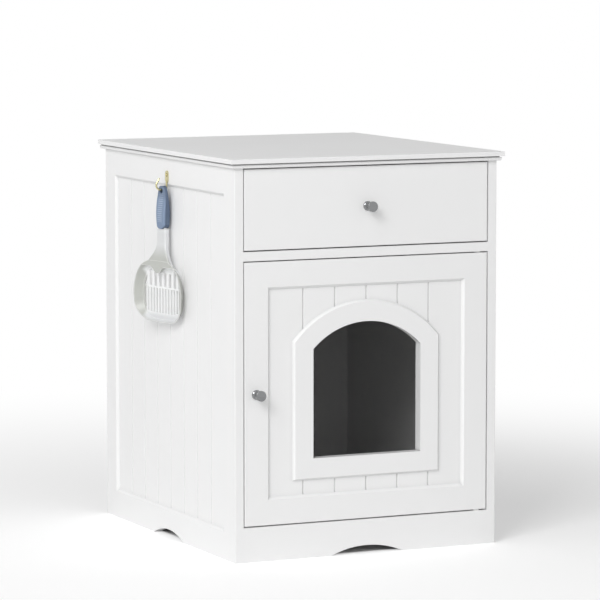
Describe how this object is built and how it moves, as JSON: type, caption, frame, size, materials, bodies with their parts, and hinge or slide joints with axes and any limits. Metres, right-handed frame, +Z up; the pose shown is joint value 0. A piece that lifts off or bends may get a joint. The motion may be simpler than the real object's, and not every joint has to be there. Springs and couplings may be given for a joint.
{
  "type": "cat litter box cabinet",
  "caption": "Free-standing board cabinet with an arched pet entrance in its side-hung door, a drawer on roller runners above it, and a slotted scoop on a side hook.",
  "frame": {"origin": "centre of the body's footprint on the floor, between the outer faces of the side panels and between their front and rear edges", "axes": "+X to the right seen from the front, +Y from the door towards the back panel, +Z up"},
  "size_m": [0.513, 0.5825, 0.65],
  "materials": {
    "painted_board": "satin white paint on fibreboard",
    "back_board": "matt white foil on thin fibreboard",
    "drawer_board": "matt white melamine",
    "plain_steel": "zinc plated",
    "zinc_cam": "die-cast zinc",
    "dowel_wood": "beech, unfinished",
    "chrome": "satin chrome plate",
    "nylon": "natural nylon",
    "white_plastic": "moulded",
    "runner_coat": "white epoxy coat on steel",
    "brass": "polished",
    "scoop_plastic": "slightly milky white plastic",
    "grip_rubber": "soft-touch rubber with fine dimples"
  },
  "bodies": {
    "cabinet": {"side_panel_left": "painted_board", "side_panel_right": "painted_board", "top_panel": "painted_board", "bottom_panel": "painted_board", "divider_panel": "painted_board", "front_apron": "painted_board", "back_panel": "back_board", "back_panel_screws": "plain_steel", "scoop_hook": "brass", "hook_screw": "brass", "magnetic_catch": "white_plastic", "catch_screws": "plain_steel", "runner_screws": "plain_steel", "cam_lock_nuts": "zinc_cam", "cam_lock_pins": "plain_steel", "wood_dowels": "dowel_wood", "pivot_bush_bottom": "nylon", "pivot_bush_top": "nylon", "runner_cabinet_left": "runner_coat", "runner_cabinet_right": "runner_coat"},
    "door": {"door_panel": "painted_board", "door_knob": "chrome", "door_knob_screw": "plain_steel", "catch_plate": "plain_steel", "catch_plate_screw": "plain_steel", "pivot_pin_bottom": "plain_steel", "pivot_pin_top": "plain_steel"},
    "drawer": {"drawer_front": "painted_board", "drawer_side_left": "drawer_board", "drawer_side_right": "drawer_board", "drawer_back": "drawer_board", "drawer_bottom": "drawer_board", "drawer_dowels": "dowel_wood", "drawer_box_screws": "plain_steel", "drawer_runner_screws": "plain_steel", "drawer_knob": "chrome", "drawer_knob_screw": "plain_steel", "runner_drawer_left": "runner_coat", "runner_drawer_right": "runner_coat"},
    "scoop": {"scoop_body": "scoop_plastic", "scoop_grip": "grip_rubber"},
    "roller_front_left": {"roller_front_left": "nylon"},
    "roller_front_right": {"roller_front_right": "nylon"},
    "roller_rear_left": {"roller_rear_left": "nylon"},
    "roller_rear_right": {"roller_rear_right": "nylon"}
  },
  "joints": [
    {"name": "door_hinge", "type": "hinge", "parent": "cabinet", "child": "door", "pos_m": [0.202, -0.2675, 0.0583], "axis": [0, 0, 1], "range_deg": [0, 130]},
    {"name": "drawer_slide", "type": "slide", "parent": "cabinet", "child": "drawer", "axis": [0, -1, 0], "range_m": [0, 0.3]},
    {"name": "scoop_swing", "type": "hinge", "parent": "cabinet", "child": "scoop", "pos_m": [-0.243, 0, 0.583], "axis": [1, 0, 0], "range_deg": [-45, 45]},
    {"name": "roller_front_left_spin", "type": "hinge", "parent": "cabinet", "child": "roller_front_left", "pos_m": [-0.21375, -0.2349, 0.5264], "axis": [1, 0, 0], "continuous": true},
    {"name": "roller_front_right_spin", "type": "hinge", "parent": "cabinet", "child": "roller_front_right", "pos_m": [0.21375, -0.2349, 0.5264], "axis": [1, 0, 0], "continuous": true},
    {"name": "roller_rear_left_spin", "type": "hinge", "parent": "drawer", "child": "roller_rear_left", "pos_m": [-0.21375, 0.1345, 0.5245], "axis": [1, 0, 0], "continuous": true},
    {"name": "roller_rear_right_spin", "type": "hinge", "parent": "drawer", "child": "roller_rear_right", "pos_m": [0.21375, 0.1345, 0.5245], "axis": [1, 0, 0], "continuous": true}
  ],
  "couplings": [
    {"joint": "roller_front_left_spin", "follows": "drawer_slide", "rad_per_m": 117.65},
    {"joint": "roller_front_right_spin", "follows": "drawer_slide", "rad_per_m": 117.65},
    {"joint": "roller_rear_left_spin", "follows": "drawer_slide", "rad_per_m": 117.65},
    {"joint": "roller_rear_right_spin", "follows": "drawer_slide", "rad_per_m": 117.65}
  ]
}
